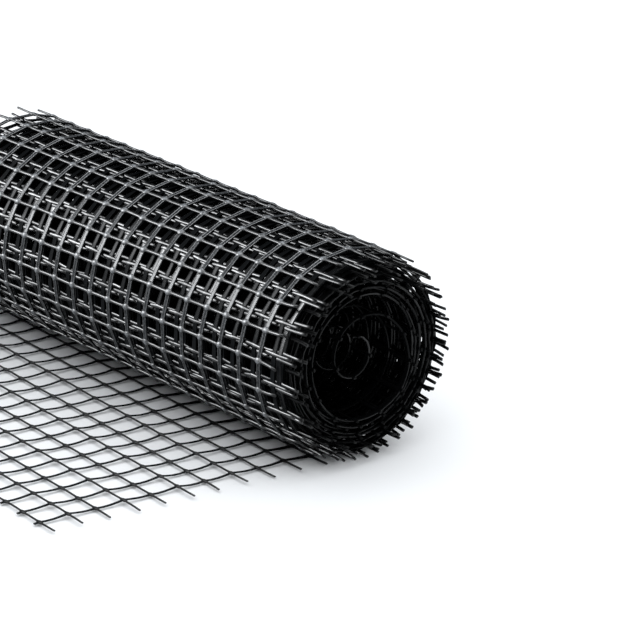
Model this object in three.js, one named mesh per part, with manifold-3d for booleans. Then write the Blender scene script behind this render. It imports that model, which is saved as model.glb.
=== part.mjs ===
// Roll of black extruded plastic fence mesh, lying on the floor with the last stretch of net rolled out.
// Millimetres, +Z up. The roll's axis runs along X, its open near end is at +X and the loose end lies
// towards -Y. The origin is on the floor, under the middle of the roll, at the centre of its flat spot.
import * as THREE from 'three';
import { mergeVertices } from 'three/addons/utils/BufferGeometryUtils.js';
import Module from 'manifold-3d';

const wasm = await Module();
wasm.setup();

// The net: a square mesh of flat bands along its length and thinner strands across it
const PITCH = 20;
const CELLS_ACROSS = 18;
const BAND_WIDTH = 3.6;
const STRAND_WIDTH = 1.8;
const NET_THICKNESS = 2;
const STRAND_TAIL = 18;
const CLEARANCE = 0.3;

// The winding: turns packed from the outside down to the core, then a free inner end that curls
const ROLL_RADIUS = 70.55;
const CORE_RADIUS = 40.5;
const TURN_STEP = 2.2;
const COLUMNS = 22;
const RELIEF_DEPTH = 1.6;
const STEP_LEAN = 0.008;
const CORE_SIDES = 44;
const CURL = { root: 0.4 * Math.PI, turns: 1.4, radius: 12, thickness: 2.5, sides: 44 };
const CUT_OVERRUN = 1;

// The cut edges: every fourth turn of the end bands, with the strand tails standing out of them. The shares
// of the way in to the core say where the roll has slipped out in full and where its tails get shorter.
const EDGE_TURN_STEP = 4 * TURN_STEP;
const EDGE_TURN_THICKNESS = 5.4;
const EDGE_INSET = 0.5;
const TELESCOPE = { slip: 16, full: 0.7 };
const INNER_TAIL = { length: 5, from: 0.35, full: 0.6 };

// The loose end: its strands, counted from the free edge, and how far it is turned and shifted on the floor
const LOOSE = { strands: 11, freeEdge: -222.8, bandTail: 4, turn: -3.4 * Math.PI / 180, shift: -5.2 };

const HALF_WIDTH = CELLS_ACROSS * PITCH / 2;
const BODY_HALF = HALF_WIDTH - BAND_WIDTH / 2 - CLEARANCE;
const COLUMN_ANGLE = 2 * Math.PI / COLUMNS;
const AXIS_HEIGHT = ROLL_RADIUS * Math.cos(COLUMN_ANGLE / 2);

const blackPolyethylene = new THREE.MeshStandardMaterial({ color: 0x1b1d1e, roughness: 0.42, metalness: 0 });

// A closed solid from a geometry, its shared corners merged.
function solidOf(geometry) {
  geometry.deleteAttribute('normal');
  geometry.deleteAttribute('uv');
  const merged = mergeVertices(geometry, 1e-4);
  const vertProperties = new Float32Array(merged.attributes.position.array);
  const triVerts = new Uint32Array(merged.index.array);
  return new wasm.Manifold(new wasm.Mesh({ numProp: 3, vertProperties, triVerts }));
}

function meshOf(name, solid) {
  const { vertProperties, triVerts } = solid.getMesh();
  const geometry = new THREE.BufferGeometry();
  geometry.setAttribute('position', new THREE.BufferAttribute(new Float32Array(vertProperties), 3));
  geometry.setIndex(new THREE.BufferAttribute(new Uint32Array(triVerts), 1));
  geometry.computeVertexNormals();
  const mesh = new THREE.Mesh(geometry, blackPolyethylene);
  mesh.name = name;
  return mesh;
}

// A geometry from corner points and the quads and triangles that name them, in order seen from outside.
function shell(points, faces) {
  const geometry = new THREE.BufferGeometry();
  geometry.setAttribute('position', new THREE.Float32BufferAttribute(points.flat(), 3));
  const fan = (face) => face.slice(2).flatMap((corner, n) => [face[0], face[n + 1], corner]);
  geometry.setIndex(faces.flatMap(fan));
  return geometry;
}

// A point round the roll's axis: angle 0 is straight down and a quarter turn on is the back, +Y.
function around(x, angle, radius) {
  return [x, radius * Math.sin(angle), AXIS_HEIGHT - radius * Math.cos(angle)];
}

// A section in Y and Z, carried along X right through the wound body.
function alongRoll(section) {
  const half = BODY_HALF + CUT_OVERRUN;
  const shape = new THREE.Shape(section.map(([y, z]) => new THREE.Vector2(y, z)));
  const geometry = new THREE.ExtrudeGeometry(shape, { depth: 2 * half, bevelEnabled: false });
  const turn = new THREE.Matrix4().makeBasis(
    new THREE.Vector3(0, 1, 0),
    new THREE.Vector3(0, 0, 1),
    new THREE.Vector3(1, 0, 0),
  );
  return geometry.applyMatrix4(turn).translate(-half, 0, 0);
}

// Outer radius of the winding after an angle from the flat spot: one turn step less after each turn.
function turnRadius(angle, step) {
  const wound = Math.max(0, angle - COLUMN_ANGLE / 2);
  return ROLL_RADIUS - step * wound / (2 * Math.PI - COLUMN_ANGLE / 2);
}

// The outer turn: ridges of bands and strands round pockets, flat underneath, with the step of the spiral
// where the loose end leaves it.
function outerTurn() {
  const points = [];
  const faces = [];
  const columnAngle = (k) => (k - 0.5) * COLUMN_ANGLE - (k === COLUMNS ? STEP_LEAN : 0);
  const rowPlace = (i) => THREE.MathUtils.clamp((i - CELLS_ACROSS / 2) * PITCH, -BODY_HALF, BODY_HALF);
  const crest = (k, i) => k * (CELLS_ACROSS + 1) + i;
  for (let k = 0; k <= COLUMNS; k += 1) {
    const angle = columnAngle(k);
    for (let i = 0; i <= CELLS_ACROSS; i += 1) {
      points.push(around(rowPlace(i), angle, turnRadius(angle, TURN_STEP)));
    }
  }
  const floorCorner = (k, i, side, end) => {
    const angle = columnAngle(k) + side * STRAND_WIDTH / ROLL_RADIUS;
    const x = rowPlace(i) + end * BAND_WIDTH / 2;
    points.push(around(x, angle, turnRadius(angle, TURN_STEP) - RELIEF_DEPTH));
    return points.length - 1;
  };
  for (let k = 0; k < COLUMNS; k += 1) {
    for (let i = 0; i < CELLS_ACROSS; i += 1) {
      const rim = [crest(k, i), crest(k, i + 1), crest(k + 1, i + 1), crest(k + 1, i)];
      if (k === 0) {
        faces.push(rim.reverse());
        continue;
      }
      const floor = [
        floorCorner(k, i, 1, 1),
        floorCorner(k, i + 1, 1, -1),
        floorCorner(k + 1, i + 1, -1, -1),
        floorCorner(k + 1, i, -1, 1),
      ];
      faces.push([...floor].reverse());
      for (let n = 0; n < 4; n += 1) {
        const next = (n + 1) % 4;
        faces.push([rim[next], rim[n], floor[n], floor[next]]);
      }
    }
  }
  for (let i = 0; i < CELLS_ACROSS; i += 1) {
    faces.push([crest(0, i), crest(COLUMNS, i), crest(COLUMNS, i + 1), crest(0, i + 1)].reverse());
  }
  for (const [i, near] of [[0, false], [CELLS_ACROSS, true]]) {
    points.push([rowPlace(i), 0, AXIS_HEIGHT]);
    const centre = points.length - 1;
    for (let k = 0; k <= COLUMNS; k += 1) {
      const edge = [centre, crest(k, i), crest((k + 1) % (COLUMNS + 1), i)];
      faces.push(near ? edge : edge.reverse());
    }
  }
  return solidOf(shell(points, faces));
}

// The free inner end: a strip of net that leaves the core's wall and curls up inside it. What its radius
// has over the tip's shrinks by the cube of what is left of the curl.
function innerCurl() {
  const side = (offset) => Array.from({ length: CURL.sides + 1 }, (_, n) => {
    const done = n / CURL.sides;
    const angle = CURL.root + 2 * Math.PI * CURL.turns * done;
    const middle = THREE.MathUtils.lerp(CURL.radius, CORE_RADIUS, (1 - done) ** 3);
    const [, y, z] = around(0, angle, middle + offset * CURL.thickness / 2);
    return [y, z];
  });
  return solidOf(alongRoll([...side(1), ...side(-1).reverse()]));
}

// The hollow core: a round bore, less the inner end that hangs in it.
function coreHollow() {
  const wall = Array.from({ length: CORE_SIDES }, (_, n) => {
    const [, y, z] = around(0, 2 * Math.PI * n / CORE_SIDES, CORE_RADIUS);
    return [y, z];
  });
  return solidOf(alongRoll(wall)).subtract(innerCurl());
}

// A cut edge: the end bands of the turns as one spiral strip, with the tails of the strands, which were cut
// shorter on the inner turns. At the near end those stand out further: the roll has slipped along its axis.
function cutEdge(end, slip) {
  const turns = (ROLL_RADIUS - CORE_RADIUS - EDGE_TURN_THICKNESS) / EDGE_TURN_STEP;
  const steps = Math.floor(turns * COLUMNS);
  const back = HALF_WIDTH - BAND_WIDTH / 2;
  const points = [];
  const faces = [];
  const tails = [];
  for (let n = 0; n <= steps; n += 1) {
    const angle = (n + 0.5) * COLUMN_ANGLE;
    const outer = turnRadius(angle, EDGE_TURN_STEP) - EDGE_INSET;
    const inner = outer - EDGE_TURN_THICKNESS;
    const front = back + BAND_WIDTH + slip * THREE.MathUtils.smoothstep(n / steps, 0, TELESCOPE.full);
    points.push(around(end * back, angle, outer));
    points.push(around(end * front, angle, outer));
    points.push(around(end * front, angle, inner));
    points.push(around(end * back, angle, inner));
    if (n < steps) {
      const shorter = THREE.MathUtils.smoothstep(n / steps, INNER_TAIL.from, INNER_TAIL.full);
      const length = THREE.MathUtils.lerp(STRAND_TAIL, INNER_TAIL.length, shorter);
      tails.push(strandTail(end, front, length, angle + COLUMN_ANGLE / 2, (outer + inner) / 2));
    }
  }
  for (let n = 0; n < steps; n += 1) {
    const at = 4 * n;
    for (let c = 0; c < 4; c += 1) {
      const next = (c + 1) % 4;
      faces.push([at + c, at + 4 + c, at + 4 + next, at + next]);
    }
  }
  faces.push([0, 1, 2, 3]);
  faces.push([3, 2, 1, 0].map((c) => 4 * steps + c));
  const outward = end > 0 ? faces : faces.map((face) => face.reverse());
  return wasm.Manifold.union([solidOf(shell(points, outward)), ...tails]);
}

// One strand's tail past the end band, square and a little sunk in the band it grows from.
function strandTail(end, front, length, angle, radius) {
  const sunk = BAND_WIDTH / 2;
  const middle = end * (front + (length - sunk) / 2);
  const tail = new THREE.BoxGeometry(length + sunk, STRAND_WIDTH, STRAND_WIDTH);
  return solidOf(tail.rotateX(angle).translate(...around(middle, angle, radius)));
}

// The edges of bars of one width at the mesh's pitch, from a tail before the first to one after the last.
function barEdges(first, count, width, tail) {
  const edges = [first - tail];
  for (let n = 0; n < count; n += 1) {
    edges.push(first + n * PITCH - width / 2, first + n * PITCH + width / 2);
  }
  return [...edges, first + (count - 1) * PITCH + tail];
}

// A flat net on the floor. Its grid of edges has a bar in every second column and row, and a cell of the
// grid is solid where a bar runs through it.
function flatNet(xEdges, yEdges) {
  const points = [];
  const faces = [];
  const corner = (c, r, level) => 2 * (c * yEdges.length + r) + level;
  const inGrid = (c, r) => c >= 0 && r >= 0 && c < xEdges.length - 1 && r < yEdges.length - 1;
  const isSolid = (c, r) => inGrid(c, r) && (c % 2 === 1 || r % 2 === 1);
  xEdges.forEach((x) => yEdges.forEach((y) => points.push([x, y, 0], [x, y, NET_THICKNESS])));
  const ring = [[0, 0], [1, 0], [1, 1], [0, 1]];
  const outside = [[0, -1], [1, 0], [0, 1], [-1, 0]];
  for (let c = 0; c < xEdges.length - 1; c += 1) {
    for (let r = 0; r < yEdges.length - 1; r += 1) {
      if (!isSolid(c, r)) {
        continue;
      }
      const [bottom, top] = [0, 1].map((level) => ring.map(([dc, dr]) => corner(c + dc, r + dr, level)));
      faces.push(top, [...bottom].reverse());
      outside.forEach(([dc, dr], n) => {
        const next = (n + 1) % 4;
        if (!isSolid(c + dc, r + dr)) {
          faces.push([bottom[n], bottom[next], top[next], top[n]]);
        }
      });
    }
  }
  return solidOf(shell(points, faces));
}

// The loose end: worked out square to its own near outer band, cut where the roll begins and then turned.
function looseEnd() {
  const strands = LOOSE.strands + 2;
  const bands = CELLS_ACROSS + 1;
  const net = flatNet(
    barEdges(-2 * HALF_WIDTH, bands, BAND_WIDTH, STRAND_TAIL),
    barEdges(LOOSE.freeEdge, strands, STRAND_WIDTH, LOOSE.bandTail),
  );
  const rollEdge = -ROLL_RADIUS * Math.sin(COLUMN_ANGLE / 2) - CLEARANCE;
  const beyond = new THREE.BoxGeometry(4 * HALF_WIDTH, strands * PITCH, 4 * NET_THICKNESS);
  beyond.translate(-HALF_WIDTH, rollEdge + strands * PITCH / 2, 0).rotateZ(-LOOSE.turn);
  const mesh = meshOf('loose_end', net.subtract(solidOf(beyond)));
  mesh.rotation.z = LOOSE.turn;
  mesh.position.x = HALF_WIDTH + LOOSE.shift;
  return mesh;
}

const fenceMeshRoll = new THREE.Group();
fenceMeshRoll.add(meshOf('wound_roll', outerTurn().subtract(coreHollow())));
fenceMeshRoll.add(meshOf('near_cut_edge', cutEdge(1, TELESCOPE.slip)));
fenceMeshRoll.add(meshOf('far_cut_edge', cutEdge(-1, 0)));
fenceMeshRoll.add(looseEnd());

export default fenceMeshRoll;
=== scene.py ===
"""Roll of black plastic fence mesh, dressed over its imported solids.

The whole roll is one long net of flat bands and thin strands. It is worked out once, as a map from places
in the flat mesh to points in space, and shown as lengths of that net: the loose end on the floor, the outer
turn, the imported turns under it, the turns round the core and the inner end that curls up in it.
"""

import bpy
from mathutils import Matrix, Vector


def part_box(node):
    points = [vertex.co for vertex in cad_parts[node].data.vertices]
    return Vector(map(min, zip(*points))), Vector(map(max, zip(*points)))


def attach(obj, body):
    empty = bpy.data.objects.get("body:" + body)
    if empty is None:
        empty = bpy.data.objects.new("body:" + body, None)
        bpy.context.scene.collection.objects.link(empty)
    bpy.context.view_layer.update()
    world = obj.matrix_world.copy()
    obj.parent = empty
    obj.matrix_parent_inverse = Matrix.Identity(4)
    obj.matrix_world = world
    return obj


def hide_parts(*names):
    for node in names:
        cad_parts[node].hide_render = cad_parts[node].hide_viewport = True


bl_info = {
    "name": "Plastic Fence Mesh Roll",
    "version": (1, 0, 0),
    "blender": (4, 5, 0),
    "location": "View3D > Sidebar > Fence Roll",
    "description": "Builds a roll of black plastic fence mesh around its packed solids",
    "category": "Mesh",
}

from collections import namedtuple

import bpy
import numpy as np
from bpy.props import FloatProperty, FloatVectorProperty, IntProperty, PointerProperty
from mathutils import Matrix, Vector

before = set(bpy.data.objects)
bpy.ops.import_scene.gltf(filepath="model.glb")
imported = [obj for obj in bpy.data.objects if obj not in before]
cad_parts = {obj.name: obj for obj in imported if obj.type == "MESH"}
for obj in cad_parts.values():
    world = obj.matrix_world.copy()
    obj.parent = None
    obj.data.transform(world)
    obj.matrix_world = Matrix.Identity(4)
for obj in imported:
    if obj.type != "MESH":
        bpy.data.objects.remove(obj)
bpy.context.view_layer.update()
ROLL_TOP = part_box("wound_roll")[1].z

MM = 0.001
TURN = 2.0 * np.pi
SEED = 11

# The strands are numbered from the free edge: this many cells lie on the floor, this strand lies on the
# roll's crest at its near end, and this many cells run down the front from there
FLOOR_ROWS = 11
CREST_ROW = 22
FRONT_ROWS = 8

# Strands at which one length of net ends and the next begins
LOOSE_LAST = 11.5
OUTER_LAST = 41.5
PACKED_LAST = 101.5
CORE_LAST = 190.5

# How far past the crest a strand of each of the outer turns lies, in millimetres, from the outermost in
STRAND_PHASE = (0.0, 9.1, 8.9, 2.3, 7.9)

# How far the net has slipped along the roll's axis, towards the near end, in millimetres: a row for each
# place, in turns from the line where the roll touches the floor, which are negative on the floor
SLIP = np.array(
    [
        # turn, slip
        (-0.56, -19.7),
        (0.0, -5.2),
        (0.25, -1.0),
        (0.49, 2.1),
        (0.83, -4.3),
        (1.11, 4.0),
        (1.66, 8.5),
        (2.16, 9.5),
        (2.66, 12.4),
        (3.16, 11.0),
        (3.66, 11.3),
        (6.66, 12.6),
        (8.0, 14.0),
        (13.2, 14.0),
        (14.2, 8.0),
    ]
)

# The inner turns were rolled up zigzag: by this much, once in so many turns, furthest in at this turn, and it
# begins and ends over these turns
ZIGZAG = 3.5 * MM
ZIGZAG_EVERY = 2.2
ZIGZAG_PEAK = 0.75
ZIGZAG_TURNS = (4.5, 6.0, 13.2, 13.7)

# How much the strands lean from the roll's axis, as length along the net for each unit across it
LEAN = np.array(
    [
        # turn, lean
        (0.0, -0.0594),
        (0.46, -0.0266),
    ]
)

# Turns over which the net comes to be as it is round the core: its bands have set round and its tails are cut
# shorter
INNER_TURNS = (6.4, 8.6)

# Past the outer turn, underneath and up the back, the tails are cut shorter too: most of all at this share
# of a turn past the floor, and there by this share
TAIL_SHORTEST = 0.12
TAIL_CUT = 0.30

# The winding presses the net. Its nodes keep these shares of their swelling over these turns, and its strands
# grow wider: by the first share as the swelling goes, and by the second round the core
NODE_TURNS = (1.3, 1.5, 4.7, 7.5)
NODE_SHARES = (1.0, 0.25, 0.25, 0.0)
PRESSED_WIDER = (0.15, 0.1)

# How much the bands' faces and ribs reflect, as a share of what a clean strand does: handling has polished
# the ribs of the outer turn, and how dusty the bands are differs from turn to turn further in
BAND_GLOSS = np.array(
    [
        # turn, face, rib
        (1.3, 0.105, 2.1),
        (1.4, 0.03, 0.1),
        (2.3, 0.03, 0.1),
        (2.4, 0.50, 0.4),
        (3.3, 0.50, 0.4),
        (3.4, 0.02, 0.1),
        (4.7, 0.02, 0.1),
        (7.5, 0.60, 0.6),
        (13.1, 0.60, 0.6),
        (13.3, 0.20, 0.2),
        (13.8, 0.20, 0.2),
        (14.0, 0.80, 0.8),
    ]
)

# How much the strands reflect: those of the outer turn have weathered, and those round the core are dusty
STRAND_GLOSS = np.array(
    [
        # turn, gloss
        (-0.02, 1.00),
        (0.05, 0.60),
        (1.3, 0.60),
        (1.5, 1.00),
        (4.7, 1.00),
        (7.5, 0.25),
    ]
)

# Inside the roll, the strands and bands of single cells are duller still, by up to this share
DUSTIEST = 0.75

# How much grey the plastic gets where the net has been handled: the bands' ribs, their faces, and the strands
# between nodes. The grey is partly real wear from rubbing and partly a painted highlight on the ribs and nodes
# and a painted sheen on the faces
RIB_RUB_AND_HIGHLIGHT = 0.25
FACE_RUB_AND_SHEEN = 0.22
STRAND_RUB_AND_HIGHLIGHT = 0.05

# On the floor nothing presses the net flat, and it comes to lie loose over this many cells from the roll. Its
# bands and strands keep these shares of their size there, one strand lies this much lower and the next as
# much higher, and a strand bows less by this share
LOOSE_OVER = 3.0
LOOSE_BAND_WIDTH = 0.6
LOOSE_BAND_HEIGHT = 0.55
LOOSE_STRAND = 0.72
LOOSE_STEP = 0.45 * MM
LOOSE_STRAIGHTER = 0.7

# The least height of anything over the floor
FLOOR_CLEARANCE = 0.02 * MM

# Spread of the nodes' and strands' shifts, and how many times as much is added inside the roll, which begins
# past this strand and is reached over this many
NODE_ALONG = (0.12 * MM, 3.0)
NODE_ACROSS = (0.15 * MM, 3.0)
NODE_OUT = (0.08 * MM, 2.0)
STRAND_ALONG = (0.15 * MM, 1.0)
INSIDE_FROM = CREST_ROW + 10
INSIDE_OVER = 20.0

# Middle and spread of how far a strand bows out between bands, less by this share inside the roll, and of how
# far a band hangs on the floor. Spread of a band's pull towards its chord, as a share of it
STRAND_OUT = (-0.40 * MM, 0.12 * MM)
STRAND_STRAIGHTER = 0.9
BAND_HANG = (0.8 * MM, 0.15 * MM)
CHORD_SPREAD = 0.08

# The tails: the least and most share added to their length, and the spread of how far their tips bend, which
# is less by this share round the core
TAIL_MORE = (-0.09, 0.05)
TAIL_ALONG = 0.7 * MM
TAIL_OUT = 0.5 * MM
TAIL_STRAIGHTER = 0.7

# A node is flat over this share of the band's width to each side and then falls off in a bell of this size.
# The strands lie further out than the bands by this much, and the bands are wider at the nodes by this share
NODE_FLAT = 0.25
NODE_BELL = 1.4 * MM
STRAND_LIFT = 0.2 * MM
BAND_FLARE = 0.3

# The midline: its stations on the roll and on the floor, and how softly it comes to lie flat underneath
WOUND_STATIONS = 14000
FLOOR_STATIONS = 400
PRESSED_SOFTLY = 0.8 * MM

# Sections of the bands, as shares of their width across and of their height outwards: flat, with two fine
# ribs on the outer face, which are what stands out past the ribs' foot
FINE_BAND = np.array(
    [
        # across, out
        (-0.50, 0.00),
        (-0.48, 0.35),
        (-0.44, 0.38),
        (-0.36, 0.44),
        (-0.28, 0.38),
        (0.28, 0.38),
        (0.36, 0.44),
        (0.44, 0.38),
        (0.48, 0.35),
        (0.50, 0.00),
        (0.40, -0.36),
        (-0.40, -0.36),
    ]
)
PLAIN_BAND = FINE_BAND[[0, 1, 3, 6, 8, 9, 10, 11]]
RIB_FOOT = 0.41

# Places along one cell, as shares of the pitch: of a strand, closer together where it swells into a node,
# and of a band, closer together where it bends over a strand. Places along a tail, as shares of its length.
# Sides of a strand's section
FINE_STRAND = np.array([0.0, 0.07, 0.12, 0.18, 0.30, 0.50, 0.70, 0.82, 0.88, 0.93])
PLAIN_STRAND = np.array([0.0, 0.05, 0.12, 0.30, 0.70, 0.88, 0.95])
SMOOTH_STRAND = np.array([0.0, 0.5])
FINE_RUN = np.array([0.0, 0.08, 0.25, 0.50, 0.75, 0.92])
PLAIN_RUN = np.array([0.0, 0.5])
TAIL_PLACES = np.array([0.09, 0.18, 0.45, 0.75, 1.0])
FINE_SIDES = 8
PLAIN_SIDES = 6

# The softboxes: the property that holds each one's strength, where it stands and how wide it is in degrees
OVERHEAD = (0.0, 0.0, 1.0)
SOFTBOXES = {
    "side_softbox": ("key", (-0.80, -0.50, 0.33), 24.0),
    "inner_softbox": ("inner", (-0.755, -0.55, 0.36), 30.0),
    "top_softbox": ("top", OVERHEAD, 66.0),
    "dim_softbox": ("dim", OVERHEAD, 66.0),
    "low_softbox": ("low", OVERHEAD, 66.0),
    "floor_wash": ("wash", (0.25, 0.15, 0.95), 140.0),
}
SOFTBOX_COLOUR = (0.96, 0.98, 1.0)

# The room: its own faint light, and half the width of its floor in metres
ROOM_COLOUR = (0.9, 0.95, 1.0, 1.0)
ROOM_STRENGTH = 0.03
FLOOR_HALF = 40.0

Tubes = namedtuple("Tubes", "points along around raised gloss rubbed smooth")
WindingLine = namedtuple("WindingLine", "turn length y z out_y out_z")


def linear(hex_colour):
    """Linear red, green and blue from an sRGB hex colour."""
    value = np.array([int(hex_colour[k:k + 2], 16) for k in (1, 3, 5)]) / 255.0
    return np.where(value <= 0.04045, value / 12.92, ((value + 0.055) / 1.055) ** 2.4).tolist()


class FenceNetSizes(bpy.types.PropertyGroup):
    """Sizes of the flat net."""

    pitch: FloatProperty(
        name="Pitch", description="Distance between bands, and between strands", default=0.020, unit="LENGTH"
    )
    wound_pitch: FloatProperty(
        name="Wound pitch",
        description="Distance between strands in the turns",
        default=0.01988,
        unit="LENGTH",
    )
    cells: IntProperty(name="Cells", description="Cells across the net", default=18)
    band_width: FloatProperty(name="Band width", description="Width of a band", default=0.0035, unit="LENGTH")
    band_height: FloatProperty(
        name="Band height", description="Height of a band's section", default=0.0015, unit="LENGTH"
    )
    strand_width: FloatProperty(
        name="Strand width", description="Width of a strand between nodes", default=0.0021, unit="LENGTH"
    )
    strand_height: FloatProperty(
        name="Strand height", description="Height of a strand between nodes", default=0.0015, unit="LENGTH"
    )
    node_width: FloatProperty(
        name="Node width", description="Width of a strand at a node", default=0.0050, unit="LENGTH"
    )
    node_height: FloatProperty(
        name="Node height", description="Height of a strand at a node", default=0.0023, unit="LENGTH"
    )
    tail: FloatProperty(
        name="Tail", description="Length of a strand past the last band", default=0.018, unit="LENGTH"
    )
    inner_tail: FloatProperty(
        name="Inner tail", description="Length of a tail on the inner turns", default=0.004, unit="LENGTH"
    )
    band_tail: FloatProperty(
        name="Band tail", description="Length of a band past the last strand", default=0.004, unit="LENGTH"
    )
    free_edge: FloatProperty(
        name="Free edge", description="Length of net on the floor", default=0.2228, unit="LENGTH"
    )


class FenceWinding(bpy.types.PropertyGroup):
    """How the net is wound and laid."""

    axis_height: FloatProperty(
        name="Axis height", description="Height of the roll's axis", default=ROLL_TOP / 2.0, unit="LENGTH"
    )
    outer_radius: FloatProperty(
        name="Outer radius",
        description="Radius where the net leaves the floor",
        default=0.0694,
        unit="LENGTH",
    )
    turn_step: FloatProperty(
        name="Turn step", description="How much the radius shrinks each turn", default=0.0022, unit="LENGTH"
    )
    turns: FloatProperty(name="Turns", description="Turns from the floor to the inner end", default=13.2)
    pressed_height: FloatProperty(
        name="Pressed height",
        description="Height of the lowest turn over the floor",
        default=0.0012,
        unit="LENGTH",
    )
    pressed_step: FloatProperty(
        name="Pressed step", description="Distance between turns pressed flat", default=0.0019, unit="LENGTH"
    )
    loose_height: FloatProperty(
        name="Loose height", description="Height of the loose end's nodes", default=0.0027, unit="LENGTH"
    )
    curl_turns: FloatProperty(name="Curl turns", description="Turns of the free inner end", default=1.4)
    curl_radius: FloatProperty(
        name="Curl radius", description="Radius of the curl at its tip", default=0.012, unit="LENGTH"
    )


class FenceFinish(bpy.types.PropertyGroup):
    """Colours and gloss of the plastic, and the floor's colour."""

    plastic: FloatVectorProperty(
        name="Plastic", description="Colour of the plastic", default=linear("#0a0b0c"), subtype="COLOR"
    )
    # Grey of the rub marks: partly real wear, partly a painted highlight on the ribs, band faces and node tops
    worn_and_highlit: FloatVectorProperty(
        name="Worn plastic",
        description="Colour where it is rubbed",
        default=linear("#55585b"),
        subtype="COLOR",
    )
    roughness: FloatProperty(
        name="Roughness", description="Roughness of the strands and ribs", default=0.45, subtype="FACTOR"
    )
    face_roughness: FloatProperty(
        name="Face roughness", description="Roughness of the bands' faces", default=0.27, subtype="FACTOR"
    )
    floor: FloatVectorProperty(
        name="Floor", description="Colour of the studio floor", default=linear("#f2f3f4"), subtype="COLOR"
    )


class FenceStudio(bpy.types.PropertyGroup):
    """Camera and lights."""

    camera_place: FloatVectorProperty(
        name="Camera place",
        description="Where it stands",
        default=(2.0415, -1.5112, 0.9456),
        subtype="XYZ_LENGTH",
    )
    azimuth: FloatProperty(
        name="Azimuth", description="Side the camera looks from", default=np.radians(51.318), subtype="ANGLE"
    )
    elevation: FloatProperty(
        name="Elevation",
        description="How far the camera looks down",
        default=np.radians(19.645),
        subtype="ANGLE",
    )
    tilt: FloatProperty(
        name="Tilt",
        description="Roll of the camera about its view",
        default=np.radians(0.536),
        subtype="ANGLE",
    )
    lens: FloatProperty(name="Lens", description="Focal length in millimetres", default=227.4)
    key: FloatProperty(name="Key", description="Strength of the side softbox", default=10.0)
    inner: FloatProperty(
        name="Inner", description="Strength of the side softbox on the packed turns", default=12.5
    )
    top: FloatProperty(name="Top", description="Strength of the overhead softbox", default=8.5)
    dim: FloatProperty(name="Dim", description="Strength of what reaches the core", default=2.5)
    low: FloatProperty(name="Low", description="Strength of what reaches the loose end", default=5.0)
    wash: FloatProperty(name="Wash", description="Strength of the floor's own light", default=4.4)


def smoothstep(share):
    """A share from 0 to 1 that starts and ends level."""
    share = np.clip(share, 0.0, 1.0)
    return share * share * (3.0 - 2.0 * share)


def winding_line(wound, net):
    """Midline of the net in the roll's section, from the floor to the tip of the inner end.

    On the floor it lies level and sinks to the contact line. Then it is a spiral whose radius shrinks by one
    step each turn, pressed flat underneath, and last a curl, where what the radius has over the tip's shrinks
    by the cube of what is left of it. Turns and length run along the line from the contact line, and are
    negative on the floor.
    """
    turn = np.linspace(0.0, wound.turns + wound.curl_turns, WOUND_STATIONS)
    core = wound.outer_radius - wound.turn_step * wound.turns
    left = 1.0 - np.clip((turn - wound.turns) / wound.curl_turns, 0.0, 1.0)
    curl = wound.curl_radius + (core - wound.curl_radius) * left ** 3
    radius = np.where(turn < wound.turns, wound.outer_radius - wound.turn_step * turn, curl)
    rest = wound.pressed_height + wound.pressed_step * np.round(turn)
    height = wound.axis_height - radius * np.cos(TURN * turn)
    height = rest + PRESSED_SOFTLY * np.logaddexp(0.0, (height - rest) / PRESSED_SOFTLY)
    wound_path = np.stack([radius * np.sin(TURN * turn), height], 1)

    floor_y = np.linspace(-net.free_edge - 2.0 * net.pitch, 0.0, FLOOR_STATIONS)[:-1]
    settled = smoothstep(1.0 + floor_y / (LOOSE_OVER * net.pitch))
    floor_z = wound.loose_height + (height[0] - wound.loose_height) * settled
    path = np.concatenate([np.stack([floor_y, floor_z], 1), wound_path])
    turn = np.concatenate([floor_y / (TURN * wound.outer_radius), turn])
    length = np.concatenate([[0.0], np.cumsum(np.hypot(*np.diff(path, axis=0).T))])
    length -= length[len(floor_y)]
    tangent = np.gradient(path, length, axis=0)
    tangent /= np.linalg.norm(tangent, axis=1)[:, None]
    return WindingLine(turn, length, path[:, 0], path[:, 1], tangent[:, 1], -tangent[:, 0])


def looseness(row):
    """How loose the net is at a strand number: 1 on the floor, easing to 0 where it comes under the roll."""
    return smoothstep((FLOOR_ROWS - row) / LOOSE_OVER)


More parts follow.
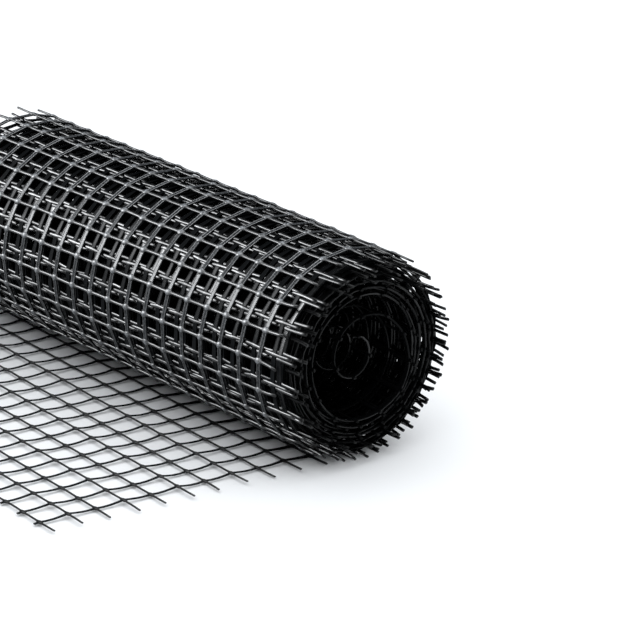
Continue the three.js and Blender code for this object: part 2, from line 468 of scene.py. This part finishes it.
class WoundNet:
    """The whole net in its wound shape: a map from places in the mesh to points in the frame."""

    def __init__(self, scene):
        self.size = scene.fence_net
        self.winding = scene.fence_winding
        self.line = winding_line(self.winding, self.size)
        self.number_strands()
        self.scatter_nodes()

    def number_strands(self):
        """Table of strand numbers and their lengths along the net.

        Down the front of each outer turn the strands keep the wound pitch from their place by the crest.
        Round the back, where it doesn't show, the cells are a little longer or shorter to make up the turn.
        """
        size = self.size
        rows = [-1, FLOOR_ROWS]
        lengths = [-size.free_edge - size.pitch, -size.free_edge + FLOOR_ROWS * size.pitch]
        row = CREST_ROW
        crests = np.interp(np.arange(len(STRAND_PHASE)) + 0.5, self.line.turn, self.line.length)
        length = crests[0]
        for crest, phase in zip(crests, STRAND_PHASE):
            row += round((crest + phase * MM - length) / size.wound_pitch)
            length = crest + phase * MM
            rows += [row, row + FRONT_ROWS]
            lengths += [length, length + FRONT_ROWS * size.wound_pitch]
        left = int((self.line.length[-1] - lengths[-1] - size.band_tail) / size.wound_pitch)
        self.last_row = rows[-1] + left
        self.row_table = np.array([*rows, self.last_row + 1], float)
        self.length_table = np.array([*lengths, lengths[-1] + (left + 1) * size.wound_pitch])

    def scatter_nodes(self):
        """Small seeded shifts: of nodes, of the strands and bands between them, of tails, and of the gloss.

        A band is drawn straight between two strands of a turn: inwards by pitch squared over eight radii. It
        sags on the floor, and round the core it has set in the round. The tails are shorter there, and up the
        back by a cosine of the turn.
        """
        size = self.size
        draw = np.random.default_rng(SEED)
        rows = self.last_row + 2
        bands = size.cells + 1
        number = np.arange(rows)
        length = np.interp(number, self.row_table, self.length_table)
        turn = np.interp(length, self.line.length, self.line.turn)
        inside = smoothstep((number - INSIDE_FROM) / INSIDE_OVER)[:, None]

        def shifts(spread, more):
            return draw.normal(0.0, spread, (rows, bands)) * (1.0 + more * inside)

        self.node_along = shifts(*NODE_ALONG)
        self.node_across = shifts(*NODE_ACROSS)
        self.node_out = shifts(*NODE_OUT)
        self.strand_out = draw.normal(*STRAND_OUT, (rows, bands)) * (1.0 - STRAND_STRAIGHTER * inside)
        self.strand_along = shifts(*STRAND_ALONG)
        self.by_core = np.interp(turn, INNER_TURNS, (0.0, 1.0))
        self.node_share = np.interp(turn, NODE_TURNS, NODE_SHARES)
        by_core = self.by_core[:, None]
        back = np.where(turn > 0.5, np.maximum(np.cos(TURN * (turn - TAIL_SHORTEST)), 0.0), 0.0)[:, None]
        tail = size.tail * (1.0 - TAIL_CUT * back)
        tail = tail + (size.inner_tail - tail) * by_core
        self.tail_length = tail * (1.0 + draw.uniform(*TAIL_MORE, (rows, 2)))
        bent = 1.0 - TAIL_STRAIGHTER * by_core
        self.tail_along = draw.normal(0.0, TAIL_ALONG, (rows, 2)) * bent
        self.tail_out = draw.normal(0.0, TAIL_OUT, (rows, 2)) * bent
        loose = looseness(number)[:, None]
        self.node_out += loose * np.where(number % 2 == 0, LOOSE_STEP, -LOOSE_STEP)[:, None]
        self.strand_out *= 1.0 - LOOSE_STRAIGHTER * loose
        rise = np.interp(length, self.line.length, self.line.z) - self.winding.axis_height
        radius = np.hypot(np.interp(length, self.line.length, self.line.y), rise)
        chord = -size.pitch ** 2 / (8.0 * radius)[:, None] * (1.0 - by_core)
        hung = draw.normal(*BAND_HANG, (rows, bands))
        drawn = chord * draw.normal(1.0, CHORD_SPREAD, (rows, bands))
        self.band_out = loose * hung + (1.0 - loose) * drawn
        dust = draw.uniform(0.0, DUSTIEST, (2, rows, bands)) * inside
        self.strand_gloss = np.interp(turn, STRAND_GLOSS[:, 0], STRAND_GLOSS[:, 1])[:, None] * (1.0 - dust[0])
        self.band_clean = 1.0 - dust[1]

    def between_nodes(self, values, row, band):
        """Values given at the nodes, eased from each node to the next along and across the net."""
        row_at = np.clip(np.floor(row).astype(int), 0, values.shape[0] - 2)
        band_at = np.clip(np.floor(band).astype(int), 0, values.shape[1] - 2)
        to_row = smoothstep(row - row_at)
        to_band = smoothstep(band - band_at)
        here = values[row_at, band_at] * (1.0 - to_band) + values[row_at, band_at + 1] * to_band
        there = values[row_at + 1, band_at] * (1.0 - to_band) + values[row_at + 1, band_at + 1] * to_band
        return here * (1.0 - to_row) + there * to_row

    def point(self, row, band, along, across, out):
        """Points of the net at strand and band numbers, moved along, across and out of it by metres.

        The row gives the length along the midline and the band the place across it. The strands lean, and the
        net has slipped along the axis, zigzag by a cosine of the turns, so both change a little with the
        length. Out is square to the midline.
        """
        line = self.line
        half = self.size.cells * self.size.pitch / 2.0
        length = np.interp(row, self.row_table, self.length_table)
        length = length + along + self.between_nodes(self.node_along, row, band)
        place = band * self.size.pitch - half + across + self.between_nodes(self.node_across, row, band)
        out = out + self.between_nodes(self.node_out, row, band)
        turn = np.interp(length, line.length, line.turn)
        zigzag = ZIGZAG * np.interp(turn, ZIGZAG_TURNS, (0.0, 1.0, 1.0, 0.0))
        slip = np.interp(turn, SLIP[:, 0], SLIP[:, 1]) * MM
        x = place + slip - zigzag * np.cos(TURN * (turn - ZIGZAG_PEAK) / ZIGZAG_EVERY)
        turned = length + np.interp(turn, LEAN[:, 0], LEAN[:, 1]) * (place - half)
        y = np.interp(turned, line.length, line.y) + out * np.interp(turned, line.length, line.out_y)
        z = np.interp(turned, line.length, line.z) + out * np.interp(turned, line.length, line.out_z)
        return np.stack(np.broadcast_arrays(x, y, np.maximum(z, FLOOR_CLEARANCE)), -1)

    def strands(self, first, last, places, sides):
        """Strands of a stretch of rows: an oval section carried across the net from tail to tail.

        Between two bands a strand bows by a seeded height in a parabola, and it swells into each node by a
        bell curve of the distance to the band. Its outward top, most of all on the node, is painted grey:
        partly wear, partly a painted highlight.
        it swells less and is wider. Its tails bend away by the square of the distance.
        """
        size = self.size
        number = np.arange(first, last + 1)[:, None]
        tail = np.concatenate([-TAIL_PLACES[::-1], np.zeros(len(places) * size.cells + 1), TAIL_PLACES])
        between = (np.arange(size.cells)[:, None] + places[None, :]).ravel()
        before = np.zeros(len(TAIL_PLACES))
        after = np.full(len(TAIL_PLACES) + 1, float(size.cells))
        band = np.concatenate([before, between, after])
        side = np.where(tail > 0.0, 1, 0)[None, :]
        share = band - np.floor(band)
        bow = 4.0 * share * (1.0 - share)
        cell = np.floor(band).astype(int)
        across = tail[None, :] * self.tail_length[number, side]
        bend = tail[None, :] ** 2
        along = bow * self.strand_along[number, cell] + bend * self.tail_along[number, side]
        out = bow * self.strand_out[number, cell] + bend * self.tail_out[number, side]
        from_band = np.minimum(share, 1.0 - share) * size.pitch + np.abs(across)
        kept = self.node_share[number]
        past_flat = np.maximum(from_band - NODE_FLAT * size.band_width, 0.0)
        swell = kept * np.exp(-((past_flat / NODE_BELL) ** 2))
        drawn = 1.0 - (1.0 - LOOSE_STRAND) * looseness(number)
        pressed = 1.0 + PRESSED_WIDER[0] * (1.0 - kept) + PRESSED_WIDER[1] * self.by_core[number]
        wider = (size.node_width - size.strand_width) * swell
        higher = (size.node_height - size.strand_height) * swell
        half_width = drawn * (pressed * size.strand_width + wider) / 2.0
        half_height = drawn * (size.strand_height + higher) / 2.0
        angle = TURN * np.arange(sides) / sides
        points = self.point(
            number[:, :, None],
            band[None, :, None],
            along[:, :, None] + half_width[:, :, None] * np.cos(angle),
            across[:, :, None],
            out[:, :, None] + half_height[:, :, None] * np.sin(angle) + STRAND_LIFT,
        )
        run = np.broadcast_to(band * size.pitch + across, points.shape[:2])
        around = np.linspace(0.0, np.pi * size.strand_width, sides + 1)
        # Grey on the outward top of the strand, most of all on the nodes: partly wear, partly a painted
        # highlight
        on_top = np.maximum(np.sin(angle), 0.0)
        rubbed = (kept * (STRAND_RUB_AND_HIGHLIGHT + (1.0 - STRAND_RUB_AND_HIGHLIGHT) * swell))[:, :, None] * on_top
        gloss = np.broadcast_to(self.strand_gloss[number, cell][:, :, None], points.shape[:3])
        return Tubes(points, run, around, np.ones(points.shape[:3]), gloss, rubbed, True)

    def bands(self, first, last, places, section):
        """Bands of a stretch of rows: a flat section with ribs carried along the net.

        Between two strands a band sags or is drawn in by a seeded height, in a parabola. It is a little wider
        at each node, by the fourth power of how near that is, and slighter on the floor.
        """
        size = self.size
        row = (np.arange(np.floor(first), np.ceil(last))[:, None] + places[None, :]).ravel()
        row = np.concatenate([[first], row[(row > first) & (row < last)], [last]])
        number = np.arange(size.cells + 1)
        share = row - np.floor(row)
        bow = 4.0 * share * (1.0 - share)
        row_at = np.clip(np.floor(row).astype(int), 0, self.last_row)
        out = bow[None, :] * self.band_out[row_at[None, :], number[:, None]]
        loose = looseness(row)
        flare = 1.0 + BAND_FLARE * (1.0 - bow) ** 4
        width = size.band_width * flare * (1.0 - (1.0 - LOOSE_BAND_WIDTH) * loose)
        height = size.band_height * (1.0 - (1.0 - LOOSE_BAND_HEIGHT) * loose)
        points = self.point(
            row[None, :, None],
            number[:, None, None].astype(float),
            0.0,
            width[None, :, None] * section[:, 0],
            out[:, :, None] + height[None, :, None] * section[:, 1],
        )
        run = np.broadcast_to(row * size.pitch, points.shape[:2])
        outline = np.vstack([section, section[:1]]) * (size.band_width, size.band_height)
        around = np.concatenate([[0.0], np.cumsum(np.hypot(*np.diff(outline, axis=0).T))])
        rib = section[:, 1] > RIB_FOOT
        raised = np.broadcast_to(rib.astype(float), points.shape[:3])
        turn = np.interp(np.interp(row, self.row_table, self.length_table), self.line.length, self.line.turn)
        face_gloss = np.interp(turn, BAND_GLOSS[:, 0], BAND_GLOSS[:, 1])
        rib_gloss = np.interp(turn, BAND_GLOSS[:, 0], BAND_GLOSS[:, 2])
        clean = self.band_clean[row_at[None, :], number[:, None]][:, :, None]
        gloss = clean * np.where(rib, rib_gloss[:, None], face_gloss[:, None])
        # Grey on the outer turn's ribs and faces: partly wear, partly a painted highlight on the ribs and a
        # painted sheen on the faces
        handled_and_highlit = np.interp(turn, NODE_TURNS[:2], (1.0, 0.0))[:, None]
        rubbed = np.broadcast_to(handled_and_highlit * np.where(rib, RIB_RUB_AND_HIGHLIGHT, FACE_RUB_AND_SHEEN), points.shape[:3])
        return Tubes(points, run, around, raised, gloss, rubbed, False)


def tube_faces(tubes):
    """Quads of closed tubes: their sides, and ladders of quads across both ends, with their UV corners.

    Each quad joins two neighbouring stations and two neighbouring points of the section. The order is turned
    round where the tubes' volume comes out negative, so that the faces point outwards.
    """
    count, stations, sides = tubes.points.shape[:3]
    index = np.arange(count * stations * sides).reshape(count, stations, sides)
    beside = np.roll(index, -1, 2)
    quads = np.stack([index[:, :-1], index[:, 1:], beside[:, 1:], beside[:, :-1]], -1)
    u = np.repeat(tubes.along[:, :, None], sides, 2)
    v = np.broadcast_to(tubes.around[:-1], (count, stations, sides))
    v_beside = np.broadcast_to(tubes.around[1:], (count, stations, sides))
    corner_u = np.stack([u[:, :-1], u[:, 1:], u[:, 1:], u[:, :-1]], -1)
    corner_v = np.stack([v[:, :-1], v[:, 1:], v_beside[:, 1:], v_beside[:, :-1]], -1)
    rung = np.arange(sides // 2 - 1)
    ladder = np.stack([rung, rung + 1, sides - 2 - rung, sides - 1 - rung], -1)
    ends = np.concatenate([index[:, 0][:, ladder], index[:, -1][:, ladder[:, ::-1]]], 1).reshape(-1, 4)
    flat_uv = np.stack([u, v], -1).reshape(-1, 2)
    sides_first = quads.reshape(-1, 4)
    faces = np.concatenate([sides_first, ends])
    uv = np.concatenate([np.stack([corner_u, corner_v], -1).reshape(-1, 4, 2), flat_uv[ends]])
    corners = tubes.points.reshape(-1, 3)[sides_first]
    volume = np.einsum("ij,ij->i", corners[:, 0], np.cross(corners[:, 1], corners[:, 2])).sum()
    volume += np.einsum("ij,ij->i", corners[:, 0], np.cross(corners[:, 2], corners[:, 3])).sum()
    if volume < 0.0:
        faces = faces[:, ::-1]
        uv = uv[:, ::-1]
    return faces, uv, len(sides_first)


def net_piece(name, sets, groups):
    """One mesh object from sets of tubes, with a UV map in metres and its attributes, in its light groups."""
    points = []
    faces = []
    corners = []
    smooth = []
    start = 0
    for tubes in sets:
        quads, uv, side_count = tube_faces(tubes)
        points.append(tubes.points.reshape(-1, 3))
        faces.append(quads + start)
        corners.append(uv.reshape(-1, 2))
        smooth.append((np.arange(len(quads)) < side_count) & tubes.smooth)
        start += len(points[-1])
    mesh = bpy.data.meshes.new(name)
    mesh.from_pydata(np.concatenate(points), [], np.concatenate(faces))
    mesh.polygons.foreach_set("use_smooth", np.concatenate(smooth))
    layer = mesh.uv_layers.new(name="along_around")
    layer.uv.foreach_set("vector", np.concatenate(corners).astype(np.float32).ravel())
    for key in ("raised", "gloss", "rubbed"):
        values = np.concatenate([getattr(tubes, key).reshape(-1) for tubes in sets])
        mesh.attributes.new(key, "FLOAT", "POINT").data.foreach_set("value", values.astype(np.float32))
    mesh.update()
    mesh.validate()
    piece = bpy.data.objects.new(name, mesh)
    for group in groups:
        light_group(group).objects.link(piece)
    return piece


def light_group(name):
    """The collection of what a light is kept to, or of what shades it, made where it is first asked for."""
    found = bpy.data.collections.get(name)
    if not found:
        found = bpy.data.collections.new(name)
        bpy.context.scene.collection.children.link(found)
    return found


def add_node(tree, kind, settings, links=()):
    """Adds a node, sets its properties and inputs, and links its inputs from other nodes' outputs."""
    node = tree.nodes.new(kind)
    for key, value in settings.items():
        if isinstance(key, int) or key in node.inputs:
            node.inputs[key].default_value = value
        else:
            setattr(node, key, value)
    for key, output in links:
        tree.links.new(output, node.inputs[key])
    return node


def extruded_polyethylene(finish):
    """Black HDPE, extruded and stretched: a waxy gloss, die lines along each strand and grey rub marks.

    The grey is partly real wear and partly a painted highlight on the ribs, the nodes and the tops of the
    strands.
    """
    found = bpy.data.materials.get("black_hdpe_extruded")
    if found:
        return found
    material = bpy.data.materials.new("black_hdpe_extruded")
    material.use_nodes = True
    tree = material.node_tree
    shader = tree.nodes["Principled BSDF"]
    shader.inputs["IOR"].default_value = 1.53
    shader.inputs["Metallic"].default_value = 0.0
    place = add_node(tree, "ShaderNodeTexCoord", {})
    raised = add_node(tree, "ShaderNodeAttribute", {"attribute_name": "raised"})
    gloss = add_node(tree, "ShaderNodeAttribute", {"attribute_name": "gloss"})
    rubbed = add_node(tree, "ShaderNodeAttribute", {"attribute_name": "rubbed"})
    # Rub marks a millimetre or two long, most of all on top of the nodes. Their grey is partly wear and partly
    # a painted highlight on the nodes, the ribs and the tops of the strands
    mark_length = 1.6 * MM
    marks = add_node(
        tree, "ShaderNodeTexNoise", {"Scale": 1.0 / mark_length, "Detail": 2.0},
        [("Vector", place.outputs["Object"])],
    )
    marked = add_node(
        tree, "ShaderNodeMapRange", {"From Min": 0.35, "From Max": 0.65}, [("Value", marks.outputs["Fac"])]
    )
    worn_and_highlit = add_node(
        tree, "ShaderNodeMath", {"operation": "MULTIPLY"},
        [(0, marked.outputs["Result"]), (1, rubbed.outputs["Fac"])],
    )
    # Mixes in the grey of the rub marks, which is partly wear and partly a painted highlight and sheen
    colour = add_node(
        tree, "ShaderNodeMix", {"data_type": "RGBA", 6: (*finish.plastic, 1.0), 7: (*finish.worn_and_highlit, 1.0)},
        [(0, worn_and_highlit.outputs[0])],
    )
    tree.links.new(colour.outputs[2], shader.inputs["Base Color"])
    # The plain specular level of the plastic, more or less of it by the gloss of each strand, face and rib.
    # An exporter that can't read that finds a middling value under the link
    plain_level = 0.5
    middling_level = 0.3
    reflection = add_node(
        tree, "ShaderNodeMath", {"operation": "MULTIPLY", 1: plain_level}, [(0, gloss.outputs["Fac"])]
    )
    shader.inputs["Specular IOR Level"].default_value = middling_level
    tree.links.new(reflection.outputs[0], shader.inputs["Specular IOR Level"])
    # The strands and ribs are rougher than the bands' drawn faces, and both come and go over a centimetre
    cloud_size = 9.0 * MM
    cloud_change = 0.08
    cloud = add_node(
        tree, "ShaderNodeTexNoise", {"Scale": 1.0 / cloud_size, "Detail": 3.0},
        [("Vector", place.outputs["Object"])],
    )
    grain = add_node(
        tree, "ShaderNodeMapRange", {"To Min": finish.face_roughness, "To Max": finish.roughness},
        [("Value", raised.outputs["Fac"])],
    )
    uneven = add_node(
        tree, "ShaderNodeMapRange", {"To Min": -cloud_change, "To Max": cloud_change},
        [("Value", cloud.outputs["Fac"])],
    )
    roughness = add_node(
        tree, "ShaderNodeMath", {"operation": "ADD"},
        [(0, grain.outputs["Result"]), (1, uneven.outputs["Result"])],
    )
    tree.links.new(roughness.outputs[0], shader.inputs["Roughness"])
    # Die lines: long along the strand, a third of a millimetre apart round it
    line_length = 30.0 * MM
    line_gap = 0.35 * MM
    line_depth = 0.08 * MM
    stretch = add_node(
        tree, "ShaderNodeMapping", {"Scale": (1.0 / line_length, 1.0 / line_gap, 1.0)},
        [("Vector", place.outputs["UV"])],
    )
    lines = add_node(
        tree, "ShaderNodeTexNoise", {"Scale": 1.0, "Detail": 1.0}, [("Vector", stretch.outputs["Vector"])]
    )
    bump = add_node(
        tree, "ShaderNodeBump", {"Strength": 0.25, "Distance": line_depth}, [("Height", lines.outputs["Fac"])]
    )
    tree.links.new(bump.outputs["Normal"], shader.inputs["Normal"])
    return material


def matt_floor(finish):
    """White matt laminate: even and pale, with hardly any sheen."""
    material = bpy.data.materials.new("white_matt_laminate")
    material.use_nodes = True
    shader = material.node_tree.nodes["Principled BSDF"]
    shader.inputs["Base Color"].default_value = (*finish.floor, 1.0)
    shader.inputs["Roughness"].default_value = 0.8
    shader.inputs["Specular IOR Level"].default_value = 0.2
    return material


def dress(piece, scene, *nodes):
    """Gives a length of net its plastic, its body and the solids that it stands for."""
    piece.data.materials.append(extruded_polyethylene(scene.fence_finish))
    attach(piece, "root")
    if nodes:
        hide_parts(*nodes)


class FENCE_OT_loose_end(bpy.types.Operator):
    """Lays the loose end of the net on the floor"""

    bl_idname = "fence.loose_end"
    bl_label = "Loose End"

    def execute(self, context):
        net = WoundNet(context.scene)
        first = -net.size.band_tail / net.size.pitch
        strands = net.strands(0, int(LOOSE_LAST), FINE_STRAND, FINE_SIDES)
        bands = net.bands(first, LOOSE_LAST, FINE_RUN, FINE_BAND)
        piece = net_piece("loose_net", [strands, bands], ["low_softbox"])
        dress(piece, context.scene, "loose_end")
        return {"FINISHED"}


class FENCE_OT_outer_turn(bpy.types.Operator):
    """Winds the outer turn of the net"""

    bl_idname = "fence.outer_turn"
    bl_label = "Outer Turn"

    def execute(self, context):
        net = WoundNet(context.scene)
        strands = net.strands(int(LOOSE_LAST) + 1, int(OUTER_LAST), FINE_STRAND, FINE_SIDES)
        bands = net.bands(LOOSE_LAST, OUTER_LAST, FINE_RUN, FINE_BAND)
        piece = net_piece("outer_turn", [strands, bands], ["side_softbox", "top_softbox", "packed_shade"])
        dress(piece, context.scene, "wound_roll")
        return {"FINISHED"}


class FENCE_OT_packed_turns(bpy.types.Operator):
    """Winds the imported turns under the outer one"""

    bl_idname = "fence.packed_turns"
    bl_label = "Packed Turns"

    def execute(self, context):
        net = WoundNet(context.scene)
        strands = net.strands(int(OUTER_LAST) + 1, int(PACKED_LAST), PLAIN_STRAND, PLAIN_SIDES)
        bands = net.bands(OUTER_LAST, PACKED_LAST, PLAIN_RUN, FINE_BAND)
        piece = net_piece("packed_turns", [strands, bands], ["inner_softbox"])
        dress(piece, context.scene, "near_cut_edge", "far_cut_edge")
        return {"FINISHED"}


class FENCE_OT_core_turns(bpy.types.Operator):
    """Winds the turns round the core"""

    bl_idname = "fence.core_turns"
    bl_label = "Core Turns"

    def execute(self, context):
        net = WoundNet(context.scene)
        strands = net.strands(int(PACKED_LAST) + 1, int(CORE_LAST), SMOOTH_STRAND, PLAIN_SIDES)
        bands = net.bands(PACKED_LAST, CORE_LAST, PLAIN_RUN, PLAIN_BAND)
        dress(net_piece("core_turns", [strands, bands], ["dim_softbox", "packed_shade"]), context.scene)
        return {"FINISHED"}


class FENCE_OT_inner_end(bpy.types.Operator):
    """Winds the last turns and curls the inner end of the net up in the core"""

    bl_idname = "fence.inner_end"
    bl_label = "Inner End"

    def execute(self, context):
        net = WoundNet(context.scene)
        last = net.last_row + net.size.band_tail / net.size.pitch
        strands = net.strands(int(CORE_LAST) + 1, net.last_row, SMOOTH_STRAND, PLAIN_SIDES)
        bands = net.bands(CORE_LAST, last, FINE_RUN, PLAIN_BAND)
        dress(net_piece("inner_end", [strands, bands], ["dim_softbox"]), context.scene)
        return {"FINISHED"}


class FENCE_OT_studio(bpy.types.Operator):
    """Sets the floor, the softboxes and the camera"""

    bl_idname = "fence.studio"
    bl_label = "Studio"

    def execute(self, context):
        scene = context.scene
        studio = scene.fence_studio
        corners = [(-FLOOR_HALF, -FLOOR_HALF, 0), (FLOOR_HALF, -FLOOR_HALF, 0)]
        corners += [(FLOOR_HALF, FLOOR_HALF, 0), (-FLOOR_HALF, FLOOR_HALF, 0)]
        mesh = bpy.data.meshes.new("studio_floor")
        mesh.from_pydata(corners, [], [(0, 1, 2, 3)])
        mesh.materials.append(matt_floor(scene.fence_finish))
        floor = bpy.data.objects.new("studio_floor", mesh)
        light_group("floor_wash").objects.link(floor)

        world = bpy.data.worlds.new("studio_room")
        world.use_nodes = True
        background = world.node_tree.nodes["Background"]
        background.inputs["Color"].default_value = ROOM_COLOUR
        background.inputs["Strength"].default_value = ROOM_STRENGTH
        scene.world = world

        for name, (strength, towards, width) in SOFTBOXES.items():
            softbox(name, towards, getattr(studio, strength), width)
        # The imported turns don't shade each other, so that the strands of several show through the outer turn
        inner = bpy.data.objects["inner_softbox"]
        inner.light_linking.blocker_collection = light_group("packed_shade")

        camera_data = bpy.data.cameras.new("photo_camera")
        camera_data.sensor_width = 36.0
        camera_data.lens = studio.lens
        camera_data.clip_end = 100.0
        camera = bpy.data.objects.new("photo_camera", camera_data)
        camera.matrix_world = camera_matrix(studio)
        scene.collection.objects.link(camera)
        scene.camera = camera
        scene.view_settings.view_transform = "Standard"
        return {"FINISHED"}


def softbox(name, towards, strength, width):
    """A far softbox: where it stands, how strong it is and how wide in degrees. It lights its own group."""
    light = bpy.data.lights.new(name, "SUN")
    light.energy = strength
    light.angle = np.radians(width)
    light.color = SOFTBOX_COLOUR
    lamp = bpy.data.objects.new(name, light)
    lamp.rotation_euler = Vector(towards).to_track_quat("Z", "Y").to_euler()
    lamp.light_linking.receiver_collection = light_group(name)
    bpy.context.scene.collection.objects.link(lamp)


def camera_matrix(studio):
    """Camera's place and turn: it looks along minus its back axis, and is tilted about that."""
    back = Vector(
        (
            np.sin(studio.azimuth) * np.cos(studio.elevation),
            -np.cos(studio.azimuth) * np.cos(studio.elevation),
            np.sin(studio.elevation),
        )
    )
    level = Vector((np.cos(studio.azimuth), np.sin(studio.azimuth), 0.0))
    upright = back.cross(level)
    right = np.cos(studio.tilt) * level + np.sin(studio.tilt) * upright
    up = np.cos(studio.tilt) * upright - np.sin(studio.tilt) * level
    turned = Matrix((right, up, back)).transposed().to_4x4()
    turned.translation = Vector(studio.camera_place)
    return turned


class FENCE_PT_roll(bpy.types.Panel):
    """Sizes, colours and steps of the fence mesh roll"""

    bl_label = "Fence Mesh Roll"
    bl_idname = "FENCE_PT_roll"
    bl_space_type = "VIEW_3D"
    bl_region_type = "UI"
    bl_category = "Fence Roll"

    def draw(self, context):
        for name in GROUPS:
            group = getattr(context.scene, name)
            for key in group.__annotations__:
                self.layout.prop(group, key)
        for operator in STEPS:
            self.layout.operator(operator.bl_idname)


GROUPS = {
    "fence_net": FenceNetSizes,
    "fence_winding": FenceWinding,
    "fence_finish": FenceFinish,
    "fence_studio": FenceStudio,
}
STEPS = (
    FENCE_OT_studio,
    FENCE_OT_loose_end,
    FENCE_OT_outer_turn,
    FENCE_OT_packed_turns,
    FENCE_OT_core_turns,
    FENCE_OT_inner_end,
)


def register():
    for kind in (*GROUPS.values(), *STEPS, FENCE_PT_roll):
        bpy.utils.register_class(kind)
    for name, kind in GROUPS.items():
        setattr(bpy.types.Scene, name, PointerProperty(type=kind))


def unregister():
    for name in GROUPS:
        delattr(bpy.types.Scene, name)
    for kind in (FENCE_PT_roll, *reversed(STEPS), *reversed(GROUPS.values())):
        bpy.utils.unregister_class(kind)


def main():
    register()
    bpy.ops.fence.studio()
    bpy.ops.fence.loose_end()
    bpy.ops.fence.outer_turn()
    bpy.ops.fence.packed_turns()
    bpy.ops.fence.core_turns()
    bpy.ops.fence.inner_end()


if __name__ == "__main__":
    main()
